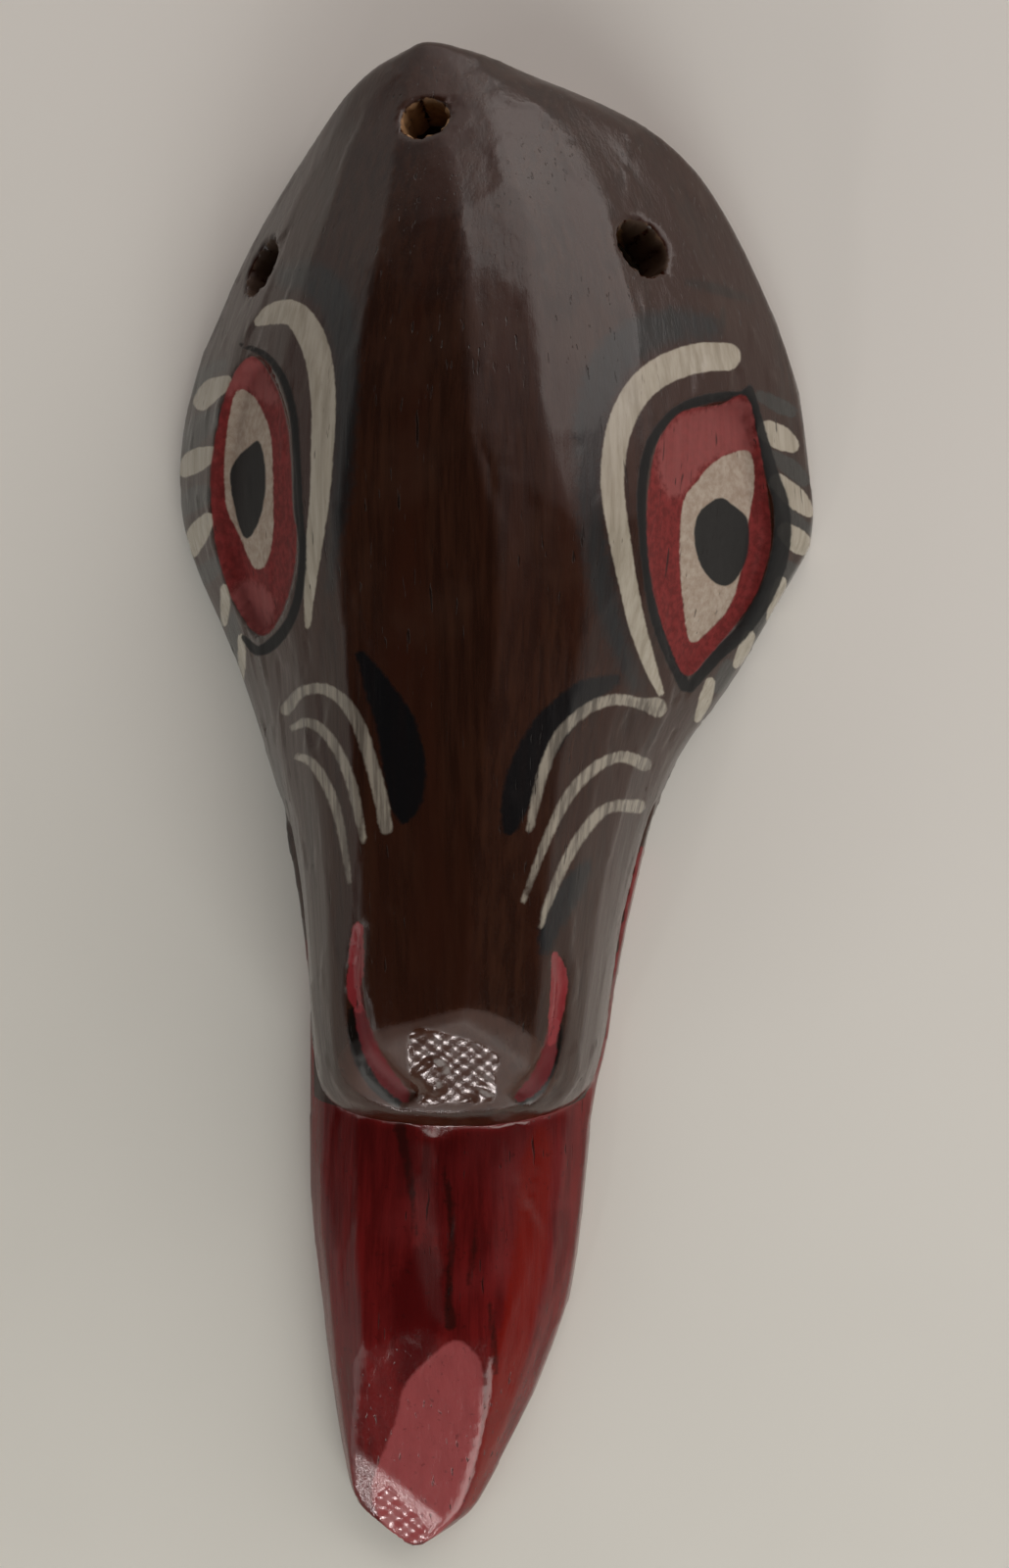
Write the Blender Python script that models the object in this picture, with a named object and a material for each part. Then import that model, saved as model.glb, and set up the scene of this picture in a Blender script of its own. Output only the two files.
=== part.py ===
"""A carved and painted wooden animal mask that lies on its flat sawn back, face up.

Metres, +Z up. The crown of the head points to +Y, the tongue to -Y, and the viewer's right is +X.
The whole mask is one block of wood: a domed head that narrows into a long muzzle, and under it a
flat lower jaw that runs out past the lip as a long tongue. The back is hollowed for a face.
"""

import math

import bmesh
import bpy
import numpy as np
from mathutils import Matrix, Vector

# Overall sizes
LENGTH = 0.400
WIDTH = 0.173
DEPTH = 0.078

# Sizes that stand on their own: the wood around the hollow and above its end at the crown, the
# holes, the sunk eyes, the gouged nostrils, mouth line and tongue channel
WALL = 0.013
CROWN_WALL = 0.017
CROWN_HOLE_DIAMETER = 0.0125
EAR_HOLE_DIAMETER = 0.0160
EYE_INNER_DEPTH = 0.0014
EYE_OUTER_DEPTH = 0.0058
EYE_BULGE = 0.0022
NOSTRIL_RADIUS = 0.0042
MOUTH_LINE_RADIUS = 0.0018
CHANNEL_WIDTH = 0.0190
CHANNEL_DEPTH = 0.0020

# The blank is this much too deep before its back is sawn flat
SAW_ALLOWANCE = 0.006

# How finely the form is sampled, and how strongly its sections crowd towards their ends, 0 to 1
HEAD_STATIONS = 58
HEAD_CROWDING = 0.75
HEAD_POINTS_A_CUT = 4
TONGUE_STATIONS = 40
TONGUE_CROWDING = 0.6
TONGUE_POINTS_A_CUT = 2
HOLLOW_STATIONS = 26
HOLLOW_CROWDING = 1.0
HOLLOW_POINTS = 21
SECTION_READINGS = 241
HOLE_SIDES = 24
EYE_SIDES = 32
EYE_RINGS = 4
GOUGE_SIDES = 12
GOUGE_STEPS = 13
SLOPE_STEP = 0.003
MERGE = 0.00004
SIMPLIFY_ANGLE = 0.4
SHARP_ANGLE = 9

# The free outline of the carving, read as shares: along the length from the crown at 0 to the
# tip of the tongue at 1, and across as a share of half the width, with the viewer's left below 0.
HEAD_LEFT = (
    (0.000, -0.179), (0.015, -0.328), (0.030, -0.415), (0.060, -0.543), (0.090, -0.660),
    (0.125, -0.770), (0.165, -0.865), (0.200, -0.937), (0.235, -0.982), (0.270, -1.000),
    (0.300, -0.992), (0.340, -0.941), (0.380, -0.859), (0.430, -0.768), (0.480, -0.691),
    (0.520, -0.618), (0.585, -0.563), (0.660, -0.535), (0.680, -0.519), (0.695, -0.480),
    (0.703, -0.416), (0.708, -0.312), (0.7115, -0.185),
)
HEAD_RIGHT = (
    (0.000, -0.116), (0.010, 0.035), (0.020, 0.133), (0.035, 0.306), (0.050, 0.462),
    (0.065, 0.569), (0.085, 0.662), (0.110, 0.738), (0.150, 0.831), (0.190, 0.906),
    (0.230, 0.958), (0.280, 0.988), (0.322, 1.000), (0.332, 0.983), (0.355, 0.918),
    (0.400, 0.798), (0.440, 0.674), (0.465, 0.590), (0.485, 0.547), (0.520, 0.486),
    (0.585, 0.409), (0.630, 0.376), (0.660, 0.355), (0.680, 0.332), (0.695, 0.289),
    (0.703, 0.231), (0.708, 0.139), (0.7115, 0.046),
)
TONGUE_LEFT = (
    (0.460, -0.647), (0.500, -0.661), (0.520, -0.647), (0.560, -0.614), (0.610, -0.582),
    (0.660, -0.572), (0.752, -0.571), (0.792, -0.558), (0.832, -0.535), (0.872, -0.513),
    (0.910, -0.488), (0.942, -0.462), (0.962, -0.440), (0.975, -0.405), (0.985, -0.349),
    (0.992, -0.306), (1.000, -0.258),
)
TONGUE_RIGHT = (
    (0.460, 0.509), (0.500, 0.503), (0.535, 0.469), (0.585, 0.415), (0.625, 0.380),
    (0.660, 0.350), (0.688, 0.321), (0.718, 0.301), (0.752, 0.287), (0.805, 0.259),
    (0.830, 0.237), (0.850, 0.208), (0.875, 0.165), (0.898, 0.120), (0.918, 0.074),
    (0.938, 0.028), (0.958, -0.018), (0.970, -0.050), (0.980, -0.096), (0.992, -0.173),
    (1.000, -0.237),
)

# The bridge of the nose from crown to lip, across and in height, and the edge below it.
# Heights are shares of DEPTH.
RIDGE_ACROSS = (
    (0.000, -0.173), (0.060, -0.100), (0.120, -0.020), (0.220, 0.030), (0.340, 0.050),
    (0.450, 0.035), (0.580, 0.000), (0.7115, -0.060),
)
RIDGE_HEIGHT = (
    (0.000, 0.45), (0.050, 0.60), (0.090, 0.72), (0.140, 0.84), (0.200, 0.93), (0.280, 0.99),
    (0.340, 1.00), (0.420, 0.985), (0.500, 0.945), (0.580, 0.89), (0.640, 0.84), (0.670, 0.79),
    (0.690, 0.71), (0.703, 0.60), (0.7115, 0.50),
)
EDGE_HEIGHT = (
    (0.000, 0.43), (0.030, 0.38), (0.060, 0.29), (0.090, 0.21), (0.130, 0.15), (0.180, 0.11),
    (0.240, 0.09), (0.450, 0.09), (0.600, 0.10), (0.660, 0.12), (0.690, 0.22), (0.705, 0.38),
    (0.7115, 0.44),
)
TONGUE_HEIGHT = (
    (0.460, 0.22), (0.620, 0.26), (0.700, 0.28), (0.760, 0.31), (0.820, 0.34), (0.860, 0.345),
    (0.900, 0.31), (0.940, 0.26), (0.970, 0.20), (0.990, 0.15), (1.000, 0.12),
)
TONGUE_EDGE = ((0.460, 0.11), (0.700, 0.11), (0.850, 0.10), (0.950, 0.085), (1.000, 0.07))

# How square the arch over the face is: near the crown, over the eyes and over the muzzle
ARCH_ACROSS = ((0.000, 2.2), (0.100, 2.05), (0.400, 2.05), (0.600, 2.5), (0.7115, 2.6))
ARCH_UP = ((0.000, 1.2), (0.100, 1.05), (0.400, 1.10), (0.600, 2.3), (0.7115, 2.4))

# The edges between the long knife cuts that run down the face, at four shares of the length.
# Each is a share from the ridge (0) to either outer edge (-1 and 1).
FACE_CUTS = (
    (0.05, (-1.0, -0.80, -0.55, -0.26, 0.00, 0.25, 0.55, 0.80, 1.0)),
    (0.25, (-1.0, -0.82, -0.60, -0.34, 0.00, 0.22, 0.52, 0.80, 1.0)),
    (0.40, (-1.0, -0.84, -0.66, -0.45, 0.10, 0.42, 0.62, 0.82, 1.0)),
    (0.60, (-1.0, -0.90, -0.74, -0.54, 0.06, 0.60, 0.76, 0.90, 1.0)),
)

# How flat the knife left its cuts, and how near an outer edge they fade into the round arch
FLATNESS = 0.8
EDGE_FADE = 0.2

# The knife cuts along the tongue: share across and share of the rise at each edge between them
TONGUE_CUTS = (
    (-1.00, 0.00), (-0.88, 0.46), (-0.58, 0.84), (-0.14, 1.00), (0.12, 0.97), (0.42, 1.00),
    (0.62, 0.84), (0.86, 0.46), (1.00, 0.00),
)
TONGUE_FLATNESS = 0.85
TONGUE_ARCH = (2.4, 1.6)

# The three drilled holes: share of the length, and across as a share of half the width.
# Each is drilled into the hollow, the ear holes square to the face and the crown's more upright.
CROWN_HOLE = (0.060, -0.139)
EAR_HOLES = ((0.1430, -0.690), (0.1463, 0.516))
CROWN_HOLE_UPRIGHT = 0.6

# Outlines of the sunk eyes, in shares of half the width across and of the length along from each
# eye's centre. They run from the lower corner over the side near the nose.
EYE_RIGHT_CENTRE = (0.3270, 0.705)
EYE_RIGHT = (
    (0.093, -0.080), (0.053, -0.143), (0.000, -0.163), (-0.038, -0.148), (-0.069, -0.090),
    (-0.081, 0.010), (-0.090, 0.115), (-0.062, 0.145), (-0.028, 0.185), (0.000, 0.199),
    (0.036, 0.147), (0.065, 0.070),
)
EYE_LEFT_CENTRE = (0.3010, -0.680)
EYE_LEFT = (
    (0.090, -0.010), (0.078, 0.100), (0.048, 0.166), (0.015, 0.176), (-0.045, 0.138),
    (-0.083, 0.055), (-0.094, -0.010), (-0.070, -0.105), (-0.018, -0.158), (0.028, -0.149),
    (0.062, -0.105), (0.082, -0.050),
)

# The nostril cuts run down either side of the nose to the lip. They start at a share of their
# radius, open by a power of the way along, and ride a share of the radius above the face.
NOSTRILS = (
    ((0.580, -0.298), (0.616, -0.328), (0.648, -0.314), (0.672, -0.262), (0.694, -0.172)),
    ((0.600, 0.268), (0.616, 0.284), (0.648, 0.268), (0.672, 0.228), (0.694, 0.148)),
)
NOSTRIL_START = 0.40
NOSTRIL_OPENING = 0.7
NOSTRIL_LIFT = 0.25

# The tongue's channel rises out of the wood by this share of its depth at its far end
CHANNEL = ((0.7135, -0.150), (0.760, -0.140), (0.820, -0.110), (0.870, -0.085))
CHANNEL_RISE = 1.3

# The line of the mouth along each cheek, and how far above the jaw's edge it rides
MOUTH_LINE = (0.500, 0.6815)
MOUTH_LINE_LIFT = 0.4

# The hollow: where it ends in the muzzle, how low its end walls start, and over what share of the
# length it rises from them.
HOLLOW_END = 0.600
HOLLOW_END_HEIGHT = 0.35
HOLLOW_CROWN_RISE = 0.16
HOLLOW_MUZZLE_RISE = 0.14

# Flat knife cuts: the front of the nose, the end of the tongue and its tip. Slope is the fall
# towards the tongue's tip and lean the fall towards -X, in degrees.
NOSE_FACET_POINT = (-0.030 * WIDTH, -0.150 * LENGTH, 0.800 * DEPTH)
NOSE_FACET_SLOPE = 38.0
NOSE_FACET_REACH = 0.020
TONGUE_FACET_POINT = (-0.055 * WIDTH, -0.410 * LENGTH, 0.245 * DEPTH)
TONGUE_FACET_SLOPE = 17.0
TONGUE_FACET_LEAN = 3.0
TONGUE_FACET_REACH = 0.050
TONGUE_TIP_POINT = (-0.150 * WIDTH, -0.480 * LENGTH, 0.125 * DEPTH)
TONGUE_TIP_SLOPE = 30.0
TONGUE_TIP_LEAN = 12.0

MUZZLE_END = HEAD_LEFT[-1][0]
JAW_START = TONGUE_LEFT[0][0]


def fit(points):
    """A smooth function through the points that never overshoots them."""
    at, value = np.array(points, float).T
    step = np.diff(at)
    rise = np.diff(value) / step
    slope = np.zeros(len(at))
    slope[0], slope[-1] = rise[0], rise[-1]
    same = rise[:-1] * rise[1:] > 0
    before, after = step[:-1][same], step[1:][same]
    heavy, light = 2 * after + before, after + 2 * before
    slope[1:-1][same] = (heavy + light) / (heavy / rise[:-1][same] + light / rise[1:][same])

    def read(where):
        where = np.clip(where, at[0], at[-1])
        i = np.clip(np.searchsorted(at, where) - 1, 0, len(step) - 1)
        t = (where - at[i]) / step[i]
        start = (1 + 2 * t) * (1 - t) ** 2 * value[i] + t * (1 - t) ** 2 * step[i] * slope[i]
        end = t * t * (3 - 2 * t) * value[i + 1] - t * t * (1 - t) * step[i] * slope[i + 1]
        return start + end

    return read


head_left, head_right, ridge_across = fit(HEAD_LEFT), fit(HEAD_RIGHT), fit(RIDGE_ACROSS)
tongue_left, tongue_right = fit(TONGUE_LEFT), fit(TONGUE_RIGHT)
ridge_height, edge_height = fit(RIDGE_HEIGHT), fit(EDGE_HEIGHT)
tongue_height, tongue_edge = fit(TONGUE_HEIGHT), fit(TONGUE_EDGE)
arch_across, arch_up = fit(ARCH_ACROSS), fit(ARCH_UP)
face_cut_edges = [fit([(row[0], row[1][i]) for row in FACE_CUTS]) for i in range(len(FACE_CUTS[0][1]))]


def along(share):
    """The place along the mask, in metres, of a share of its length from the crown."""
    return LENGTH * (0.5 - share)


def share_at(y):
    """The share of the length at a place along the mask."""
    return 0.5 - y / LENGTH


def arch(u, across, up):
    """Height of the rounded arch, 1 at the ridge and 0 at either edge."""
    return np.maximum(0.0, 1 - np.abs(u) ** across) ** (1 / up)


def face_cuts(share):
    """Where the edges between the knife cuts lie across the face at a share of the length."""
    return np.array([float(edge(share)) for edge in face_cut_edges])


def section_height(u, share, flatness):
    """Height of the face across one section: an arch with the long knife cuts taken into it."""
    across, up = arch_across(share), arch_up(share)
    cuts = face_cuts(share)
    flat = np.interp(u, cuts, arch(cuts, across, up))
    # The steep outer cuts stay round, so that the arch keeps its spring
    amount = flatness * np.clip((1 - np.abs(u)) / EDGE_FADE, 0, 1)
    rise = flat * amount + arch(u, across, up) * (1 - amount)
    edge = edge_height(share)
    return DEPTH * (edge + (ridge_height(share) - edge) * rise)


def between(edges, count):
    """The edges with a count of equal steps in each gap, finer at the steep outer ends."""
    steps = np.arange(count) / count
    line = [edges[i] + steps * (edges[i + 1] - edges[i]) for i in range(len(edges) - 1)]
    line[0] = edges[0] + steps ** 2 * (edges[1] - edges[0])
    line[-1] = edges[-1] - (1 - steps) ** 2 * (edges[-1] - edges[-2])
    return np.r_[np.concatenate(line), edges[-1]]


def face_across(u, share):
    """Where a share across the face, -1 to 1 with the ridge at 0, lies in metres."""
    half = WIDTH / 2
    ridge = ridge_across(share)
    side = np.where(u < 0, ridge - head_left(share), head_right(share) - ridge)
    return half * (ridge + u * side)


def face_height(x, y, flatness=FLATNESS):
    """Height of the face over places at one distance along the mask, in metres."""
    share = share_at(y)
    at = x / (WIDTH / 2)
    ridge = ridge_across(share)
    side = np.where(at < ridge, ridge - head_left(share), head_right(share) - ridge)
    u = np.clip((at - ridge) / side, -1, 1)
    facet = NOSE_FACET_POINT[2] + (y - NOSE_FACET_POINT[1]) * math.tan(math.radians(NOSE_FACET_SLOPE))
    return np.minimum(section_height(u, share, flatness), facet)


def tongue_top(x, y):
    """Height of the uncut tongue over any place of the back plane, in metres."""
    share = share_at(y)
    left, right = tongue_left(share), tongue_right(share)
    u = np.clip((2 * x / (WIDTH / 2) - left - right) / (right - left), -1, 1)
    cuts, heights = np.array(TONGUE_CUTS).T
    rise = TONGUE_FLATNESS * np.interp(u, cuts, heights) + (1 - TONGUE_FLATNESS) * arch(u, *TONGUE_ARCH)
    edge = tongue_edge(share)
    return DEPTH * (edge + (tongue_height(share) - edge) * rise)


def on_face(share, across, flatness=FLATNESS):
    """A point of the face and the direction straight out of it."""
    x, y = WIDTH / 2 * across, along(share)
    step = SLOPE_STEP
    slope_x = (face_height(x + step, y, flatness) - face_height(x - step, y, flatness)) / (2 * step)
    slope_y = (face_height(x, y + step, flatness) - face_height(x, y - step, flatness)) / (2 * step)
    point = Vector((x, y, float(face_height(x, y, flatness))))
    return point, Vector((-float(slope_x), -float(slope_y), 1)).normalized()


def evenly(points, count):
    """The same line with its points at equal steps along it."""
    points = np.array(points, float)
    run = np.r_[0, np.cumsum(np.linalg.norm(np.diff(points, axis=0), axis=1))]
    where = np.linspace(0, run[-1], count)
    return np.stack([np.interp(where, run, points[:, i]) for i in range(points.shape[1])], -1)


def mesh_object(name, mesh_maker, collection):
    """A new object whose mesh the maker fills in as a bmesh."""
    bm = bmesh.new()
    mesh_maker(bm)
    bmesh.ops.recalc_face_normals(bm, faces=bm.faces)
    mesh = bpy.data.meshes.new(name)
    bm.to_mesh(mesh)
    bm.free()
    made = bpy.data.objects.new(name, mesh)
    collection.objects.link(made)
    return made


def loft(name, rings, collection):
    """A closed body through rings of points that all have the same count."""

    def fill(bm):
        rows = [[bm.verts.new(point) for point in ring] for ring in rings]
        for row, following in zip(rows, rows[1:]):
            for i in range(len(row)):
                j = (i + 1) % len(row)
                bm.faces.new((row[i], row[j], following[j], following[i]))
        bm.faces.new(rows[0])
        bm.faces.new(rows[-1])

    return mesh_object(name, fill, collection)


def head_ring(share, base):
    """One section of the head, from the left foot over the face to the right foot."""
    y = along(share)
    u = between(face_cuts(share), HEAD_POINTS_A_CUT)
    x, z = face_across(u, share), section_height(u, share, FLATNESS)
    return [(x[0], y, base), *((px, y, pz) for px, pz in zip(x, z)), (x[-1], y, base)]


def tongue_ring(share, base):
    """One section of the lower jaw and tongue."""
    y = along(share)
    left, right = tongue_left(share), tongue_right(share)
    u = between(np.array(TONGUE_CUTS)[:, 0], TONGUE_POINTS_A_CUT)
    x = WIDTH / 2 * ((left + right) / 2 + u * (right - left) / 2)
    z = tongue_top(x, y)
    return [(x[0], y, base), *((px, y, pz) for px, pz in zip(x, z)), (x[-1], y, base)]


def spaced(start, end, count, crowd):
    """Shares from start to end, crowded towards both ends by the given amount, 0 to 1."""
    t = np.linspace(0, 1, count)
    eased = (1 - np.cos(math.pi * t)) / 2
    return start + (end - start) * (t * (1 - crowd) + eased * crowd)


def hollow_ring(share, height):
    """One section of the hollow in the back: the head's own section, a wall's thickness in."""
    y = along(share)
    u = np.linspace(-1, 1, SECTION_READINGS)
    x = face_across(u, share)
    z = face_height(x, y)
    run, rise = np.gradient(x), np.gradient(z)
    size = np.hypot(run, rise)
    inner_x, inner_z = x + WALL * rise / size, z - WALL * run / size
    inside = (inner_x > x[0] + WALL) & (inner_x < x[-1] - WALL)
    inner_x, inner_z = inner_x[inside], inner_z[inside] * height
    feet = ((x[0] + WALL, 0.0), (x[-1] - WALL, 0.0))
    line = evenly([feet[0], *zip(inner_x, inner_z), feet[1]], HOLLOW_POINTS)
    below = -2 * SAW_ALLOWANCE
    return [(feet[0][0], y, below), *((px, y, pz) for px, pz in line), (feet[1][0], y, below)]


def make_hollow(cutters):
    """The hollow for the face: low at both ends, and rising to a wall's thickness under the face."""
    start, end = CROWN_WALL / LENGTH, HOLLOW_END
    rings = []
    for share in spaced(start, end, HOLLOW_STATIONS, HOLLOW_CROWDING):
        crown = min(1.0, (share - start) / HOLLOW_CROWN_RISE)
        muzzle = min(1.0, (end - share) / HOLLOW_MUZZLE_RISE)
        height = HOLLOW_END_HEIGHT + (1 - HOLLOW_END_HEIGHT) * math.sqrt(
            (1 - (1 - crown) ** 3) * (1 - (1 - muzzle) ** 3))
        rings.append(hollow_ring(share, height))
    return loft("hollow cutter", rings, cutters)


def make_hole(name, place, diameter, upright, cutters):
    """A drill that reaches into the hollow: square to the face, or as upright as given, 0 to 1."""
    point, out = on_face(*place)
    out = out.lerp(Vector((0, 0, 1)), upright).normalized()

    def fill(bm):
        bmesh.ops.create_cone(bm, cap_ends=True, segments=HOLE_SIDES, radius1=diameter / 2,
                              radius2=diameter / 2, depth=4 * WALL)

    drill = mesh_object(name, fill, cutters)
    turn = out.to_track_quat("Z", "Y").to_matrix().to_4x4()
    drill.matrix_world = Matrix.Translation(point - out * WALL) @ turn
    return drill


def domed(edge, upward, bulge, shares):
    """Rings of a smooth low dome over a closed edge, at shares of the way out, and its top."""
    middle = sum(edge, Vector()) / len(edge)
    rows = []
    for r in shares:
        row = []
        for point in edge:
            offset = point - middle
            rise = offset.dot(upward)
            level = middle + (offset - upward * rise) * r
            row.append(level + upward * (rise * r * r + bulge * (1 - r * r)))
        rows.append(row)
    return rows, middle + upward * bulge


def make_eye(name, centre, outline, cutters):
    """The scoop that sinks an eye: shallow beside the nose, deep at the side of the head."""
    smooth = evenly(closed_curve([*outline, outline[0]]), EYE_SIDES + 1)[:-1]
    across = smooth[:, 1] * math.copysign(1, centre[1])
    outer = (across - across.min()) / (across.max() - across.min())
    floor, lid = [], []
    for (down, side), share in zip(smooth, outer):
        point, out = on_face(centre[0] + down, centre[1] + side, flatness=0)
        floor.append(point - out * (EYE_INNER_DEPTH + (EYE_OUTER_DEPTH - EYE_INNER_DEPTH) * share))
        lid.append(point + out * EYE_OUTER_DEPTH)
    upward = on_face(*centre, flatness=0)[1]
    shares = np.arange(1, EYE_RINGS + 1) / EYE_RINGS
    floor_rows, floor_cap = domed(floor, upward, EYE_BULGE, shares)
    lid_rows, lid_cap = domed(lid, upward, EYE_BULGE + EYE_OUTER_DEPTH, shares[::-1])
    rows, caps = floor_rows + lid_rows, (floor_cap, lid_cap)

    def fill(bm):
        corners = [[bm.verts.new(point) for point in row] for row in rows]
        for i in range(EYE_SIDES):
            j = (i + 1) % EYE_SIDES
            for row, following in zip(corners, corners[1:]):
                bm.faces.new((row[i], row[j], following[j], following[i]))
        for cap, row in zip(caps, (corners[0], corners[-1])):
            tip = bm.verts.new(cap)
            for i in range(EYE_SIDES):
                bm.faces.new((row[i], row[(i + 1) % EYE_SIDES], tip))

    return mesh_object(name, fill, cutters)


def closed_curve(points, steps=6):
    """A smooth closed line through the points, of which the last repeats the first."""
    base = np.asarray(points)[:-1]
    before, after, beyond = np.roll(base, 1, 0), np.roll(base, -1, 0), np.roll(base, -2, 0)
    line = []
    for t in np.arange(steps) / steps:
        line.append(0.5 * (2 * base + (after - before) * t
                           + (2 * before - 5 * base + 4 * after - beyond) * t ** 2
                           + (3 * base - before - 3 * after + beyond) * t ** 3))
    line = np.stack(line, 1).reshape(-1, base.shape[1])
    return np.vstack([line, line[:1]])


def sweep(name, centres, radii, cutters):
    """A round gouge's path: a tube through the centres with its own radius at each."""
    rings = []
    for i, (centre, radius) in enumerate(zip(centres, radii)):
        ahead = Vector(centres[min(i + 1, len(centres) - 1)]) - Vector(centres[max(i - 1, 0)])
        turn = ahead.to_track_quat("Z", "Y").to_matrix()
        rings.append([Vector(centre) + turn @ Vector((math.cos(a) * radius, math.sin(a) * radius, 0))
                      for a in np.linspace(0, 2 * math.pi, GOUGE_SIDES + 1)[:-1]])
    return loft(name, rings, cutters)


def fit_path(path):
    """Steps along a smooth line through the places: how far done, and the shares along and across."""
    done = np.linspace(0, 1, GOUGE_STEPS)
    shares = path[0][0] + (path[-1][0] - path[0][0]) * done
    return list(zip(done, shares, fit(path)(shares)))


def make_nostril(name, path, cutters):
    """A nostril cut: a thin start high on the muzzle that opens towards the lip."""
    centres, radii = [], []
    for done, share, side in fit_path(path):
        point, out = on_face(share, side)
        radius = NOSTRIL_RADIUS * (NOSTRIL_START + (1 - NOSTRIL_START) * done ** NOSTRIL_OPENING)
        centres.append(point + out * radius * NOSTRIL_LIFT)
        radii.append(radius)
    return sweep(name, centres, radii, cutters)


def make_channel(cutters):
    """The gouged channel down the middle of the tongue, which runs out to nothing."""
    radius = (CHANNEL_WIDTH ** 2 / 4 + CHANNEL_DEPTH ** 2) / (2 * CHANNEL_DEPTH)
    centres = []
    for done, share, side in fit_path(CHANNEL):
        x, y = WIDTH / 2 * side, along(share)
        depth = CHANNEL_DEPTH * (1 - CHANNEL_RISE * done ** 3)
        centres.append((x, y, float(tongue_top(x, y)) + radius - depth))
    return sweep("tongue channel cutter", centres, [radius] * len(centres), cutters)


def make_mouth_line(name, side, cutters):
    """The groove that parts the muzzle from the lower jaw along one cheek."""
    outline = head_left if side < 0 else head_right
    lift = MOUTH_LINE_RADIUS * MOUTH_LINE_LIFT
    centres = [(WIDTH / 2 * float(outline(share)), along(share), DEPTH * float(tongue_edge(share)) + lift)
               for share in np.linspace(*MOUTH_LINE, GOUGE_STEPS)]
    return sweep(name, centres, [MOUTH_LINE_RADIUS] * len(centres), cutters)


def plane_cut(name, point, slope, lean, size, cutters):
    """A flat knife cut: a block whose underside lies on the sloped plane through the point."""

    def fill(bm):
        bmesh.ops.create_cube(bm, size=1)
        bmesh.ops.scale(bm, vec=size, verts=bm.verts)
        bmesh.ops.translate(bm, vec=(0, 0, size[2] / 2), verts=bm.verts)

    block = mesh_object(name, fill, cutters)
    turn = Matrix.Rotation(math.radians(slope), 4, "X") @ Matrix.Rotation(math.radians(-lean), 4, "Y")
    block.matrix_world = Matrix.Translation(point) @ turn
    return block


def facet_cut(name, point, slope, lean, reach, cutters):
    """A knife cut across the muzzle or the tongue that takes what stands above its plane."""
    return plane_cut(name, point, slope, lean, (WIDTH / 2, LENGTH / 2, reach), cutters)


def combine(target, other, operation):
    """Joins the other body to the target or cuts it away, and keeps it as a guide."""
    modifier = target.modifiers.new(other.name, "BOOLEAN")
    modifier.operation = operation
    modifier.solver = "EXACT"
    modifier.object = other
    other.hide_render = True
    other.display_type = "WIRE"


def settle(target):
    """Turns the object and its cuts into one clean mesh that stands centred on its back."""
    depsgraph = bpy.context.evaluated_depsgraph_get()
    mesh = bpy.data.meshes.new_from_object(target.evaluated_get(depsgraph))
    target.modifiers.clear()
    bm = bmesh.new()
    bm.from_mesh(mesh)
    bmesh.ops.remove_doubles(bm, verts=bm.verts, dist=MERGE)
    bmesh.ops.dissolve_degenerate(bm, edges=bm.edges, dist=MERGE)
    bmesh.ops.dissolve_limit(bm, angle_limit=math.radians(SIMPLIFY_ANGLE), verts=bm.verts, edges=bm.edges)
    bmesh.ops.triangulate(bm, faces=bm.faces)
    bmesh.ops.dissolve_degenerate(bm, edges=bm.edges, dist=MERGE)
    corners = np.array([v.co for v in bm.verts])
    low, high = corners.min(0), corners.max(0)
    shift = Vector((-(low[0] + high[0]) / 2, -(low[1] + high[1]) / 2, -low[2]))
    bmesh.ops.translate(bm, vec=shift, verts=bm.verts)
    bm.to_mesh(mesh)
    bm.free()
    target.data = mesh
    mesh.shade_smooth()
    mesh.set_sharp_from_angle(angle=math.radians(SHARP_ANGLE))


def painted_wood():
    material = bpy.data.materials.new("varnished painted wood")
    material.use_nodes = True
    shader = material.node_tree.nodes["Principled BSDF"]
    shader.inputs["Base Color"].default_value = (0.045, 0.022, 0.013, 1)
    shader.inputs["Roughness"].default_value = 0.35
    shader.inputs["Metallic"].default_value = 0.0
    return material


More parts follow.
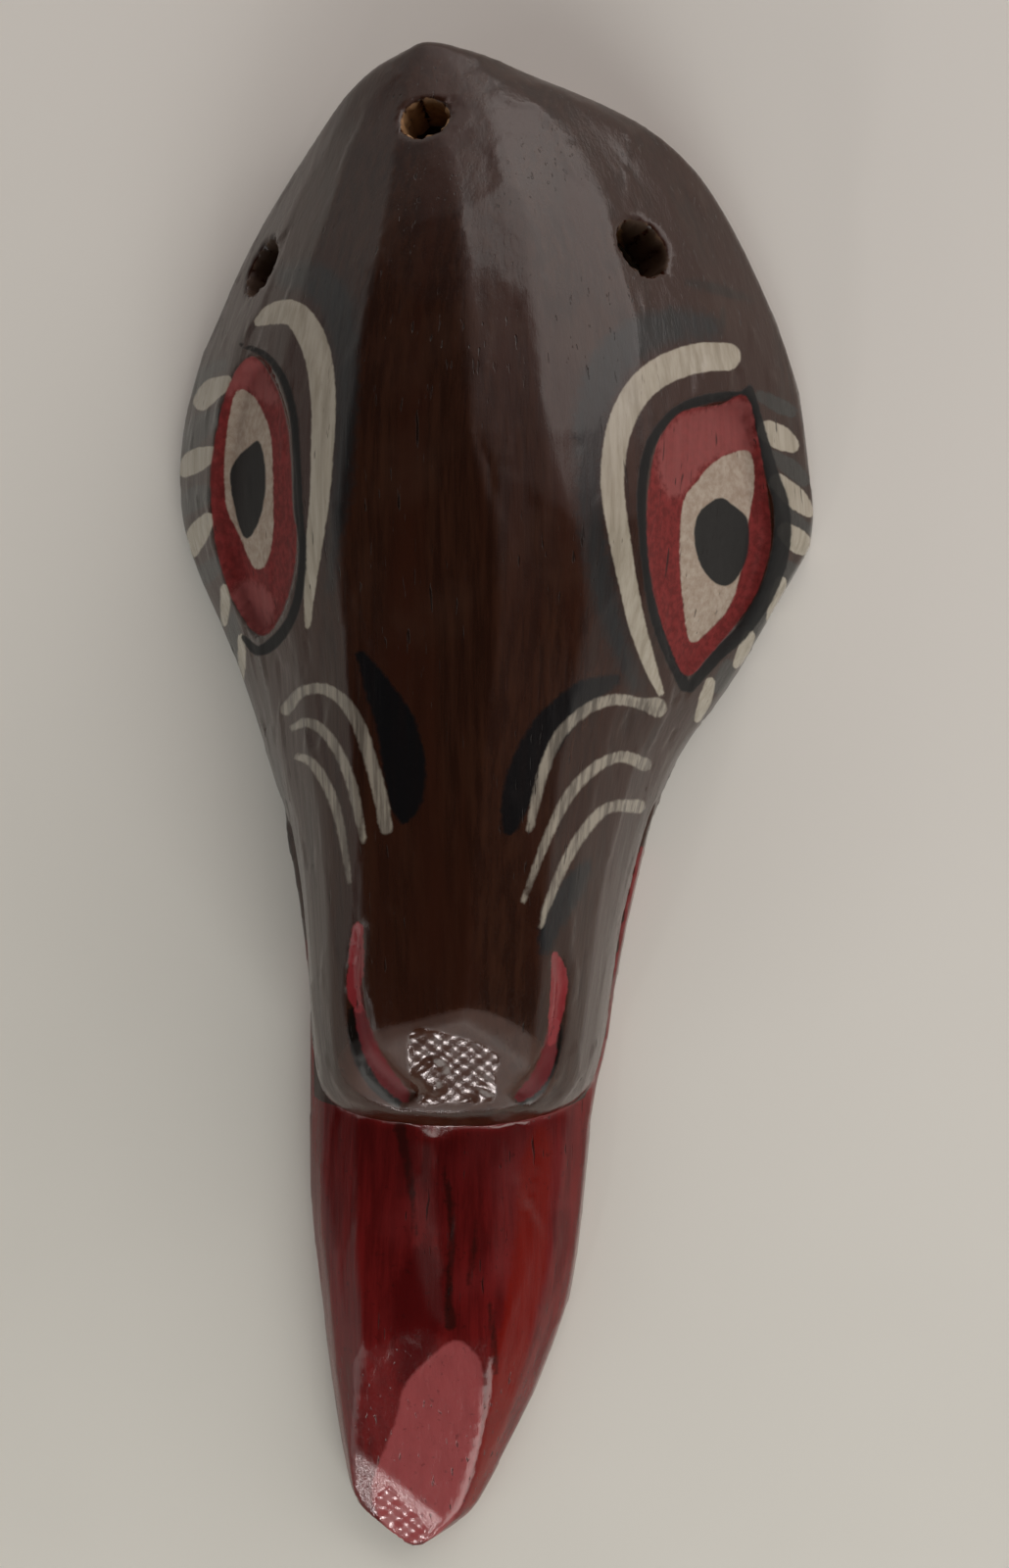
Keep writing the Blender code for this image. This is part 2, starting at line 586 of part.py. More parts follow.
def main():
    for old in list(bpy.data.objects):
        bpy.data.objects.remove(old, do_unlink=True)
    parts = bpy.data.collections.new("wooden mask")
    cutters = bpy.data.collections.new("wooden mask cutters")
    for collection in (parts, cutters):
        bpy.context.scene.collection.children.link(collection)

    head_shares = spaced(0, MUZZLE_END, HEAD_STATIONS, HEAD_CROWDING)
    mask = loft("mask", [head_ring(share, -SAW_ALLOWANCE) for share in head_shares], parts)
    jaw_shares = spaced(JAW_START, 1, TONGUE_STATIONS, TONGUE_CROWDING)
    tongue = loft("tongue blank", [tongue_ring(share, -SAW_ALLOWANCE / 2) for share in jaw_shares], cutters)
    combine(mask, facet_cut("nose facet cutter", NOSE_FACET_POINT, NOSE_FACET_SLOPE, 0.0,
                            NOSE_FACET_REACH, cutters), "DIFFERENCE")
    combine(tongue, facet_cut("tongue facet cutter", TONGUE_FACET_POINT, TONGUE_FACET_SLOPE,
                              TONGUE_FACET_LEAN, TONGUE_FACET_REACH, cutters), "DIFFERENCE")
    combine(tongue, facet_cut("tongue tip cutter", TONGUE_TIP_POINT, TONGUE_TIP_SLOPE,
                              TONGUE_TIP_LEAN, TONGUE_FACET_REACH, cutters), "DIFFERENCE")
    combine(mask, tongue, "UNION")
    back = plane_cut("back cutter", (0, 0, -4 * SAW_ALLOWANCE), 0, 0,
                     (2 * WIDTH, 2 * LENGTH, 4 * SAW_ALLOWANCE), cutters)
    combine(mask, back, "DIFFERENCE")
    combine(mask, make_hollow(cutters), "DIFFERENCE")
    combine(mask, make_hole("crown hole cutter", CROWN_HOLE, CROWN_HOLE_DIAMETER,
                            CROWN_HOLE_UPRIGHT, cutters), "DIFFERENCE")
    for side, place in zip(("left", "right"), EAR_HOLES):
        drill = make_hole(side + " ear hole cutter", place, EAR_HOLE_DIAMETER, 0, cutters)
        combine(mask, drill, "DIFFERENCE")
    combine(mask, make_eye("left eye cutter", EYE_LEFT_CENTRE, EYE_LEFT, cutters), "DIFFERENCE")
    combine(mask, make_eye("right eye cutter", EYE_RIGHT_CENTRE, EYE_RIGHT, cutters), "DIFFERENCE")
    for side, path in zip(("left", "right"), NOSTRILS):
        combine(mask, make_nostril(side + " nostril cutter", path, cutters), "DIFFERENCE")
    for side, sign in (("left", -1), ("right", 1)):
        combine(mask, make_mouth_line(side + " mouth line cutter", sign, cutters), "DIFFERENCE")
    combine(mask, make_channel(cutters), "DIFFERENCE")
    settle(mask)
    mask.data.materials.clear()
    mask.data.materials.append(painted_wood())


main()
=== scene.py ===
"""The looks of a carved and painted wooden animal mask that lies on its flat sawn back.

The CAD solid is taken as it is and made again at a finer scale: knife and gouge marks are cut into
it, and its painted strokes are laid on as signed distances to their edges, which the material turns
into brushed paint. Metres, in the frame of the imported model. Strokes are given in pixels of the
photograph's frame, as the mask is seen from the camera, and are carried onto the wood from there.
"""

import math

import bpy
import numpy as np
from mathutils import Matrix, Vector
from mathutils.bvhtree import BVHTree
from mathutils.kdtree import KDTree


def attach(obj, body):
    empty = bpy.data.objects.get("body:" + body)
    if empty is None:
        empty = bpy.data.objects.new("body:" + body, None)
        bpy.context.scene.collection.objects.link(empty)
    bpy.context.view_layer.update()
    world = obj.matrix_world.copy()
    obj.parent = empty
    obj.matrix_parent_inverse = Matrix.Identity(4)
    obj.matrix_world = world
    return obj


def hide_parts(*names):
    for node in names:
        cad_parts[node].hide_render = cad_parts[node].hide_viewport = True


# The photograph's frame, and a camera over the face, a little to the right and to the tongue
IMAGE_WIDTH, IMAGE_HEIGHT = 1030, 1600
METRES_PER_PIXEL = 0.00026
CAMERA_TARGET = Vector((0.0052, 0.0045, 0.020))
CAMERA_DISTANCE = 0.8
CAMERA_TO_RIGHT = math.radians(7.5)
CAMERA_TO_TONGUE = math.radians(2.0)
SENSOR = 36.0

# The fine mesh; each smoothing step draws the surface in by a share and pushes it out by another
VOXEL = 0.00140
SMOOTH_STEPS = 3
DRAW_IN, PUSH_OUT = 0.5, -0.52

# The flat knife marks on the face: their size, how many, how strongly they flatten, how far off
# their plane they reach, and how nearly the wood has to face as they do
MARK_SEED = 7
KNIFE_MARK = (0.0085, 0.034, 0.0085)
KNIFE_COUNT = 900
KNIFE_STRENGTH = 0.42
KNIFE_REACH = 0.0008
KNIFE_FACING = (0.90, 0.98)

# The scooped gouge marks in the hollow, each with a raised rim, a share of its depth
GOUGE_MARK = (0.011, 0.022, 0.011)
GOUGE_COUNT = 650
GOUGE_DEPTH = 0.0011
GOUGE_RIM = 0.3

# The sawn back stays flat: it faces down, and no mark is cut lower than this
BACK_FACING = -0.5
BACK_HEIGHT = 0.0012

# The cut across the tongue's tip: a point on it, the way it faces and how far up it reaches
TIP_CUT_POINT = np.array((-0.0265, -0.180, 0.01324))
TIP_CUT_NORMAL = np.array((-0.139, -0.387, 0.911))
TIP_CUT_Y = -0.170

# The drilled holes: a point on the axis at the face, the way out, and the radius. The first is
# the crown's, the others are at the ears
HOLES = (
    (Vector((-0.0120, 0.1760, 0.0488)), Vector((-0.050, 0.198, 0.979)), 0.00625),
    (Vector((-0.0597, 0.1428, 0.0275)), Vector((-0.776, 0.315, 0.546)), 0.0080),
    (Vector((0.0446, 0.1415, 0.0449)), Vector((0.674, 0.324, 0.664)), 0.0080),
)
HOLE_REACH = 0.018

# The ridges torn in their walls: how many go round, how high and how far turned, and how near
# the wall they stay
SPLINTERS = ((7, 0.00030, 0.4), (11, 0.00026, 1.9), (17, 0.00018, 3.1))
SPLINTER_REACH = 0.0012

# How far outside a hole its rim is chipped bare, and between which two distances from its wall
# the painted shade of an ear hole, nearly black, sets in
CHIPPED_RIM = 0.0003
HOLE_SHADE_EDGE = (-0.0015, -0.0005)

# The room's light: the way to its bright window, and how bright the room is by how near a place
# is to that way (1 is straight at it) and by how high it is over the floor (1 is overhead)
WINDOW_DIRECTION = Vector((0.52, 0.75, 0.41))
WINDOW_GLOW = (
    (0.0, (0.012, 0.0115, 0.011)), (0.45, (0.02, 0.018, 0.017)), (0.60, (0.07, 0.058, 0.054)),
    (0.72, (0.21, 0.168, 0.158)), (0.86, (0.34, 0.27, 0.255)), (1.0, (0.38, 0.305, 0.285)),
)
WALL_GLOW = ((0.0, (0.30, 0.285, 0.27)), (0.35, (0.10, 0.095, 0.09)), (0.6, (0.0, 0.0, 0.0)))
ROOM_STRENGTH = 2.0

# The wall behind the tongue is in shadow: it keeps this share of its glow, and the shadow ends
# between these two ways along Y
SHADED_SHARE = 0.2
SHADE_FROM, SHADE_TO = -0.9, -0.3

# Each lamp's name, place, size, power and tint. The two small ones are broken into rows of glints
# by the dimpled varnish on the front of the nose and on the tip of the tongue
DAYLIGHT = (1.0, 0.97, 0.93)
GLINT_LAMP = ((0.07, 0.07), 1.3, (1.0, 0.90, 0.88))
LAMPS = (
    ("wide lamp", (0.45, -1.45, 0.85), (1.3, 0.9), 15, (1.0, 0.98, 0.93)),
    ("window lamp", (1.25, 1.8, 0.95), (2.6, 1.9), 20, DAYLIGHT),
    ("left lamp", (-1.45, -1.30, 0.85), (1.6, 1.0), 6, DAYLIGHT),
    ("nose lamp", (-0.226, -1.523, 0.335), *GLINT_LAMP),
    ("tip lamp", (-0.59, -1.395, 0.69), *GLINT_LAMP),
)
LAMP_AIM = Vector((0, 0, 0.03))

# The painted board that the mask lies on, and the way along it, towards the window, in which
# painted light makes it paler
FLOOR_SIZE = 6.0
FLOOR_Z = -0.0002
BOARD_COLOURS = ((0.76, 0.775, 0.72), (0.79, 0.805, 0.75))
LIT_BOARD = (0.92, 0.925, 0.885)
FLOOR_LIGHT_WAY = (0.55, 0.80, 0.0)
FLOOR_LIGHT_ENDS = (-0.2, 0.22)

# The steps between the varnish's dimples, across and along
DIMPLE_ACROSS, DIMPLE_ALONG = 0.0042, 0.0031

# How many steps a curve takes from one of its points to the next
CURVE_STEPS = 4

# A distance well outside any painted area, and one well inside
FAR, DEEP = -0.05, 0.002

# Paint ends where the wood turns away from the camera's side: the least that it faces that way,
# and the distance to the paint's edge that comes with facing it fully
LEAST_FACING = 0.02
FACING_DISTANCE = 0.03

# Painted outlines, closed, in pixels of the photograph's frame
LEFT_RING = (
    (260, 364), (274, 380), (285, 402), (293, 432), (297, 470), (299, 520), (303, 545), (300, 585),
    (290, 620), (276, 645), (262, 647), (245, 626), (231, 596), (221, 560), (216, 520), (215, 480),
    (221, 440), (231, 400), (245, 372),
)
LEFT_WHITE = (
    (241, 400), (256, 402), (268, 420), (277, 450), (279, 520), (278, 550), (272, 575), (262, 581),
    (254, 570), (244, 545), (232, 520), (229, 480), (232, 440),
)
LEFT_PUPIL = (
    (255, 455), (264, 450), (270, 470), (271, 500), (265, 530), (255, 548), (247, 545), (238, 512),
    (235, 482), (244, 465),
)
RIGHT_RING = (
    (762, 404), (735, 413), (705, 417), (690, 425), (672, 450), (663, 490), (660, 530), (663, 580),
    (671, 620), (684, 660), (701, 690), (725, 668), (752, 636), (772, 605), (784, 570), (787, 540),
    (783, 500), (775, 455),
)
RIGHT_WHITE = (
    (766, 462), (745, 463), (725, 475), (712, 491), (700, 506), (695, 530), (694, 570), (697, 612),
    (705, 655), (727, 640), (745, 618), (757, 580), (764, 530), (770, 495),
)
RIGHT_PUPIL = (
    (735, 508), (750, 517), (763, 530), (764, 560), (757, 582), (745, 597), (730, 595), (717, 580),
    (710, 560), (709, 538), (716, 520),
)
SMEAR_RIGHT = ((604, 876), (598, 905), (580, 935), (560, 972), (549, 965), (556, 930), (575, 898))
TONGUE_ORANGE = (
    (548, 1150), (562, 1165), (560, 1230), (556, 1300), (545, 1350), (534, 1400), (518, 1450),
    (496, 1510), (478, 1540), (490, 1470), (500, 1400), (514, 1340), (526, 1260), (532, 1190),
)
# Painted shade: a darker red in the carved channel of the tongue
TONGUE_CHANNEL_SHADE = (
    (404, 1300), (430, 1270), (452, 1290), (456, 1340), (440, 1380), (424, 1402), (412, 1420),
    (405, 1380), (400, 1340),
)
# Painted sheen: the tongue's end facet is painted pale pink where the light catches it
TONGUE_END_SHEEN = (
    (463, 1368), (482, 1378), (492, 1394), (493, 1425), (489, 1470), (479, 1510), (466, 1545),
    (440, 1570), (410, 1572), (385, 1545), (380, 1515), (388, 1490), (404, 1450), (412, 1416),
    (434, 1390),
)
# Painted sheen: a paler pink on the eye rings where the light catches them
RING_SHEEN = (
    ((672, 454), (688, 430), (714, 419), (764, 410), (768, 458), (740, 464), (716, 478), (700, 502),
     (684, 506), (673, 486)),
    ((238, 374), (262, 366), (278, 392), (284, 412), (266, 408), (246, 396), (232, 404)),
    ((236, 604), (252, 592), (268, 600), (280, 612), (276, 636), (262, 646), (246, 626)),
)
NOSE_GLINT = ((418, 1054), (460, 1055), (507, 1074), (506, 1100), (503, 1124), (460, 1126), (424, 1123))
# Lighter warm brown on the nose's front: partly its own tint, partly a painted sheen
NOSE_FRONT = (
    (346, 1082), (372, 1056), (430, 1040), (480, 1030), (530, 1048), (566, 1085), (556, 1118),
    (500, 1131), (420, 1131), (368, 1116),
)
TIP_GLINT = ((384, 1530), (396, 1517), (414, 1536), (435, 1555), (431, 1574), (414, 1572), (382, 1549))

# Painted strokes, open: each point is x, y and the stroke's width there, in the same pixels
WHITE_STROKES = (
    ((264, 328, 10), (280, 320, 22), (300, 320, 26), (316, 340, 28), (326, 370, 27),
     (330, 410, 25), (329, 460, 23), (326, 510, 20), (320, 560, 17), (316, 600, 12), (314, 640, 5)),
    ((742, 364, 28), (715, 365, 30), (685, 374, 30), (660, 390, 29), (641, 415, 27),
     (629, 450, 25), (625, 495, 24), (631, 540, 22), (640, 590, 19), (651, 640, 17), (664, 680, 13),
     (675, 708, 6)),
    ((231, 390, 14), (216, 398, 22), (206, 410, 18)),
    ((215, 463, 16), (200, 470, 24), (189, 479, 16)),
    ((212, 530, 14), (202, 545, 22), (196, 562, 14)),
    ((229, 600, 8), (230, 618, 10), (229, 636, 6)),
    ((246, 650, 7), (247, 672, 8), (247, 696, 4)),
    ((784, 440, 22), (797, 447, 24), (808, 454, 16)),
    ((794, 492, 18), (812, 508, 22), (826, 522, 12)),
    ((802, 542, 18), (814, 552, 24), (826, 560, 16)),
    ((797, 594, 12), (793, 612, 16), (787, 632, 10)),
    ((765, 649, 12), (759, 664, 13), (752, 678, 8)),
    ((725, 696, 10), (720, 714, 13), (712, 734, 7)),
)
WHISKERS = (
    ((292, 724, 12), (308, 706, 10), (330, 703, 11), (350, 715, 12), (366, 740, 13),
     (378, 775, 13), (388, 810, 14), (394, 845, 13)),
    ((298, 743, 6), (314, 737, 9), (332, 748, 10), (350, 776, 10), (362, 812, 10), (371, 858, 6)),
    ((303, 772, 6), (318, 778, 9), (336, 806, 10), (348, 845, 8), (357, 902, 4)),
    ((671, 722, 20), (655, 718, 12), (628, 714, 11), (602, 722, 11), (574, 746, 11),
     (558, 778, 11), (548, 812, 10), (541, 846, 7)),
    ((658, 780, 14), (635, 772, 11), (608, 783, 11), (582, 810, 11), (560, 852, 9), (534, 920, 5)),
    ((652, 823, 14), (622, 824, 11), (598, 846, 11), (576, 882, 10), (558, 926, 7), (552, 946, 4)),
)
BLACK_STROKES = (
    ((246, 352, 4), (270, 362, 7), (288, 385, 8), (299, 420, 8), (303, 470, 8), (305, 520, 9),
     (309, 560, 8), (306, 600, 9), (297, 632, 10), (280, 655, 12), (263, 664, 10), (248, 650, 5)),
    ((762, 403, 9), (722, 407, 10), (692, 419, 10), (671, 441, 10), (660, 466, 10),
     (655, 505, 10), (657, 545, 10), (661, 585, 10), (668, 625, 11), (681, 662, 12), (699, 700, 12)),
    ((765, 398, 10), (776, 440, 12), (787, 480, 14), (797, 512, 16), (799, 546, 18),
     (792, 582, 18), (778, 614, 17), (757, 645, 15), (733, 668, 13), (704, 702, 10)),
)
BANDS = (
    ((368, 668, 10), (385, 700, 26), (404, 740, 40), (412, 780, 44), (414, 812, 36), (412, 832, 16)),
    ((628, 694, 12), (600, 706, 26), (568, 736, 36), (545, 772, 38), (528, 812, 32), (520, 844, 16)),
)
BLUE_BANDS = (
    ((292, 282, 22), (320, 284, 34), (342, 308, 34), (352, 350, 26), (354, 400, 22), (352, 450, 20),
     (348, 500, 18), (342, 550, 12), (337, 600, 6)),
    ((724, 334, 24), (690, 332, 34), (655, 342, 40), (622, 372, 42), (604, 420, 34),
     (601, 480, 26), (606, 550, 26), (618, 610, 24), (634, 660, 20), (648, 700, 12)),
)
LASH_GREY = (
    ((226, 372, 12), (206, 384, 14), (196, 398, 12)),
    ((222, 424, 14), (204, 436, 24), (192, 452, 18)),
    ((217, 502, 14), (200, 508, 24), (188, 518, 18)),
    ((222, 574, 14), (212, 584, 20), (204, 590, 14)),
    ((237, 628, 8), (239, 650, 14), (240, 670, 10)),
    ((776, 404, 12), (796, 414, 16), (808, 420, 12)),
    ((790, 466, 14), (808, 478, 18), (820, 490, 14)),
    ((801, 520, 12), (816, 534, 14), (828, 540, 10)),
    ((801, 580, 16), (806, 584, 20), (800, 596, 12)),
    ((776, 628, 16), (772, 640, 20), (768, 652, 12)),
    ((744, 680, 14), (738, 692, 18), (732, 702, 12)),
)
SMUDGES = (
    ((700, 288, 5), (722, 292, 10), (748, 300, 9), (768, 306, 4)),
    ((684, 314, 3), (684, 328, 6), (686, 342, 3)),
    ((738, 316, 3), (737, 328, 6), (736, 340, 3)),
    ((292, 300, 3), (284, 318, 7), (276, 330, 4)),
    ((283, 778, 5), (287, 820, 8), (294, 868, 9), (299, 902, 5)),
)
NOSTRIL_STROKES = (
    ((365, 946, 10), (364, 964, 14), (363, 990, 16), (361, 1012, 14), (367, 1030, 8)),
    ((566, 974, 6), (570, 988, 14), (571, 1004, 18), (569, 1024, 15), (566, 1044, 12), (563, 1064, 8)),
)
NOSTRIL_GROOVES = (
    ((367, 1030, 10), (373, 1056, 15), (382, 1079, 17), (396, 1101, 18), (413, 1119, 12)),
    ((566, 1044, 10), (562, 1066, 13), (556, 1088, 16), (545, 1107, 16), (531, 1119, 11)),
)
NOSTRIL_SHADOWS = (
    ((359, 1030, 7), (362, 1058, 13), (372, 1086, 16), (387, 1109, 16), (406, 1125, 10)),
    ((573, 1044, 4), (569, 1068, 8), (561, 1094, 10), (548, 1114, 10), (532, 1125, 7)),
)
# Painted shade: dark lines along the tongue's carved grooves and under the lip
TONGUE_GROOVE_SHADE = (
    ((408, 1148, 12), (414, 1180, 9), (420, 1215, 6), (424, 1260, 4)),
    ((452, 1190, 4), (459, 1225, 7), (461, 1270, 6), (458, 1320, 7), (460, 1352, 12)),
    ((488, 1240, 3), (484, 1275, 5), (478, 1310, 3)),
    ((500, 1330, 4), (504, 1370, 6), (506, 1400, 5)),
)

STROKES = {
    "white": WHITE_STROKES, "whiskers": WHISKERS, "black": BLACK_STROKES, "bands": BANDS,
    "blue": BLUE_BANDS, "lash_grey": LASH_GREY, "smudges": SMUDGES, "nostrils": NOSTRIL_STROKES,
    "grooves": NOSTRIL_GROOVES, "shadows": NOSTRIL_SHADOWS, "tongue_groove_shade": TONGUE_GROOVE_SHADE,
}
OUTLINES = {
    "ring": (LEFT_RING, RIGHT_RING), "ring_sheen": RING_SHEEN, "eye_white": (LEFT_WHITE, RIGHT_WHITE),
    "pupil": (LEFT_PUPIL, RIGHT_PUPIL), "smear": (SMEAR_RIGHT,), "nose_front": (NOSE_FRONT,),
    "glint": (NOSE_GLINT, TIP_GLINT), "orange": (TONGUE_ORANGE,), "channel_shade": (TONGUE_CHANNEL_SHADE,),
    "tongue_end_sheen": (TONGUE_END_SHEEN,),
}

# How far up the jaw the red reaches on the left and on the right, and the height that it stays
# under: along the jaw, and from the lip on over the whole tongue
RED_STARTS_Y = (-0.037, -0.012)
LIP_Y = -0.0790
LIP_RUN = 0.006
JAW_TOP = 0.0105
TONGUE_TOP = 0.0275


def camera_axes():
    """The camera's right, up and back directions, and where it stands."""
    a, b = CAMERA_TO_RIGHT, CAMERA_TO_TONGUE
    back = Vector((math.sin(a) * math.cos(b), -math.sin(b), math.cos(a) * math.cos(b)))
    right = Vector((0, 1, 0)).cross(back).normalized()
    return right, back.cross(right), back, CAMERA_TARGET + back * CAMERA_DISTANCE


def make_camera():
    right, up, back, eye = camera_axes()
    data = bpy.data.cameras.new("camera")
    data.sensor_width = SENSOR
    data.lens = SENSOR * CAMERA_DISTANCE / METRES_PER_PIXEL / IMAGE_HEIGHT
    camera = bpy.data.objects.new("camera", data)
    bpy.context.scene.collection.objects.link(camera)
    camera.matrix_world = Matrix((right, up, back)).transposed().to_4x4()
    camera.matrix_world.translation = eye
    bpy.context.scene.camera = camera


def to_pixels(points):
    """Where points are seen in the photograph's frame, and the metres that a pixel covers there."""
    right, up, back, eye = (np.array(v) for v in camera_axes())
    offset = points - eye
    away = -(offset @ back)
    focal = CAMERA_DISTANCE / METRES_PER_PIXEL
    x = IMAGE_WIDTH / 2 + focal * (offset @ right) / away
    y = IMAGE_HEIGHT / 2 - focal * (offset @ up) / away
    return np.stack([x, y], -1), away / focal


def smooth_line(points, closed):
    """A curve through the points, with a few steps in each gap."""
    points = np.array(points, float)
    if closed:
        before, after, beyond = (np.roll(points, n, 0) for n in (1, -1, -2))
    else:
        padded = np.vstack([2 * points[0] - points[1], points, 2 * points[-1] - points[-2]])
        before, points, after, beyond = padded[:-3], padded[1:-2], padded[2:-1], padded[3:]
    line = []
    for t in np.arange(CURVE_STEPS) / CURVE_STEPS:
        line.append(0.5 * (2 * points + (after - before) * t
                           + (2 * before - 5 * points + 4 * after - beyond) * t ** 2
                           + (3 * points - before - 3 * after + beyond) * t ** 3))
    line = np.stack(line, 1).reshape(-1, points.shape[1])
    return np.vstack([line, line[:1] if closed else after[-1:]])


def from_segment(places, a, b):
    """How far each place is from the line between two points, and how far along it is nearest."""
    run = b - a
    t = np.clip(((places - a) @ run) / max(run @ run, 1e-9), 0, 1)
    return np.hypot(*(places - a - t[:, None] * run).T), t


def inside_outline(places, outline):
    """How far inside a closed outline each place is; outside is negative."""
    line = smooth_line(outline, True)
    nearest = np.full(len(places), 1e9)
    crossings = np.zeros(len(places), bool)
    for a, b in zip(line, line[1:]):
        nearest = np.minimum(nearest, from_segment(places, a, b)[0])
        run = b - a
        spans = (a[1] > places[:, 1]) != (b[1] > places[:, 1])
        reach = a[0] + (places[:, 1] - a[1]) / (run[1] if run[1] else 1e-9) * run[0]
        crossings ^= spans & (places[:, 0] < reach)
    return np.where(crossings, nearest, -nearest)


def inside_strokes(places, strokes):
    """How far inside any of the strokes each place is; outside is negative."""
    best = np.full(len(places), -1e9)
    for stroke in strokes:
        line = smooth_line(stroke, False)
        for a, b in zip(line, line[1:]):
            distance, t = from_segment(places, a[:2], b[:2])
            best = np.maximum(best, (a[2] + t * (b[2] - a[2])) / 2 - distance)
    return best


def read_vertices(mesh, what):
    values = np.zeros(len(mesh.vertices) * 3, np.float32)
    mesh.vertices.foreach_get(what, values)
    return values.reshape(-1, 3).astype(float)


def write_vertices(mesh, places):
    mesh.vertices.foreach_set("co", places.astype(np.float32).ravel())
    mesh.update()


def fine_copy(solid):
    """The CAD solid made again as an even fine mesh."""
    piece = bpy.data.objects.new("mask_carving", solid.data.copy())
    bpy.context.scene.collection.objects.link(piece)
    remesh = piece.modifiers.new("fine", "REMESH")
    remesh.mode = "VOXEL"
    remesh.voxel_size = VOXEL
    depsgraph = bpy.context.evaluated_depsgraph_get()
    mesh = bpy.data.meshes.new_from_object(piece.evaluated_get(depsgraph))
    piece.modifiers.clear()
    piece.data = mesh
    mesh.materials.clear()
    return piece


def relax(mesh):
    """Evens out the stairs that the remesh leaves, without shrinking the form."""
    ends = np.zeros(len(mesh.edges) * 2, np.int32)
    mesh.edges.foreach_get("vertices", ends)
    ends = ends.reshape(-1, 2)
    places = read_vertices(mesh, "co")
    count = np.bincount(ends.ravel(), minlength=len(places))[:, None]
    for share in (DRAW_IN, PUSH_OUT) * SMOOTH_STEPS:
        total = np.zeros_like(places)
        for i in range(3):
            total[:, i] = (np.bincount(ends[:, 0], places[ends[:, 1], i], len(places))
                           + np.bincount(ends[:, 1], places[ends[:, 0], i], len(places)))
        places += share * (total / count - places)
    write_vertices(mesh, places)


def find_inside(piece):
    """Which vertices lie in the hollow or on the sawn back: they have wood above them."""
    places, normals = read_vertices(piece.data, "co"), read_vertices(piece.data, "normal")
    tree = BVHTree.FromObject(piece, bpy.context.evaluated_depsgraph_get())
    off_surface, up = 0.0006, Vector((0, 0, 1))
    starts = places + normals * off_surface + (0, 0, 0.0004)
    covered = [tree.ray_cast(Vector(start), up)[0] is not None for start in starts]
    return np.array(covered) | (normals[:, 2] < BACK_FACING)


def nearest_marks(places, size, count, rng):
    """For each place the nearest of a number of marks laid at random, and how far off it is."""
    scaled = places / np.array(size)
    chosen = rng.choice(len(places), count, replace=False)
    tree = KDTree(count)
    for i, place in enumerate(scaled[chosen]):
        tree.insert(place, i)
    tree.balance()
    found = [tree.find(place) for place in scaled]
    return chosen[[hit[1] for hit in found]], np.array([hit[2] for hit in found])


def carve(piece, inside):
    """Cuts the knife marks, the gouge marks, the holes' torn walls and the cut at the tip."""
    mesh = piece.data
    places, normals = read_vertices(mesh, "co"), read_vertices(mesh, "normal")
    rng = np.random.default_rng(MARK_SEED)
    low = places[:, 2] < BACK_HEIGHT
    outer = np.flatnonzero(~inside & ~low)
    hollow = np.flatnonzero(inside & ~low)
    mark, _ = nearest_marks(places[outer], KNIFE_MARK, KNIFE_COUNT, rng)
    at, out = places[outer][mark], normals[outer][mark]
    rise = np.einsum("ij,ij->i", places[outer] - at, out)
    agree = np.interp(np.einsum("ij,ij->i", normals[outer], out), KNIFE_FACING, (0, 1))
    depth = np.clip(rise, -KNIFE_REACH, KNIFE_REACH) * KNIFE_STRENGTH * agree
    places[outer] -= out * depth[:, None]
    _, away = nearest_marks(places[hollow], GOUGE_MARK, GOUGE_COUNT, rng)
    scoop = GOUGE_DEPTH * np.clip(1 - away ** 2, -GOUGE_RIM, 1)
    places[hollow] -= normals[hollow] * scoop[:, None]
    splinter(places)
    above = (places - TIP_CUT_POINT) @ TIP_CUT_NORMAL
    tip = ~inside & (places[:, 1] < TIP_CUT_Y)
    places[tip] -= TIP_CUT_NORMAL * np.maximum(above[tip], 0)[:, None]
    places[:, 2] = np.maximum(places[:, 2], 0.0)
    write_vertices(mesh, places)


def around_hole(places, hole):
    """For each place: how far inside the hole, the way from its axis, and the turn about it."""
    point, out, radius = hole
    side = out.orthogonal().normalized()
    offset = places - np.array(point)
    out, side, other = (np.array(v) for v in (out.normalized(), side, out.normalized().cross(side)))
    along = offset @ out
    across = offset - along[:, None] * out
    distance = np.linalg.norm(across, axis=1)
    inside = np.where(np.abs(along) < HOLE_REACH, radius - distance, FAR)
    turn = np.arctan2(across @ other, across @ side)
    return inside, across / np.maximum(distance, 1e-6)[:, None], turn


def splinter(places):
    """Roughens the walls of the drilled holes into torn ridges."""
    for hole in HOLES:
        inside, way, turn = around_hole(places, hole)
        ridges = sum(size * np.sin(count * turn + shift) for count, size, shift in SPLINTERS)
        near = np.clip(1 - np.abs(inside) / SPLINTER_REACH, 0, 1)
        places += way * (ridges * near)[:, None]


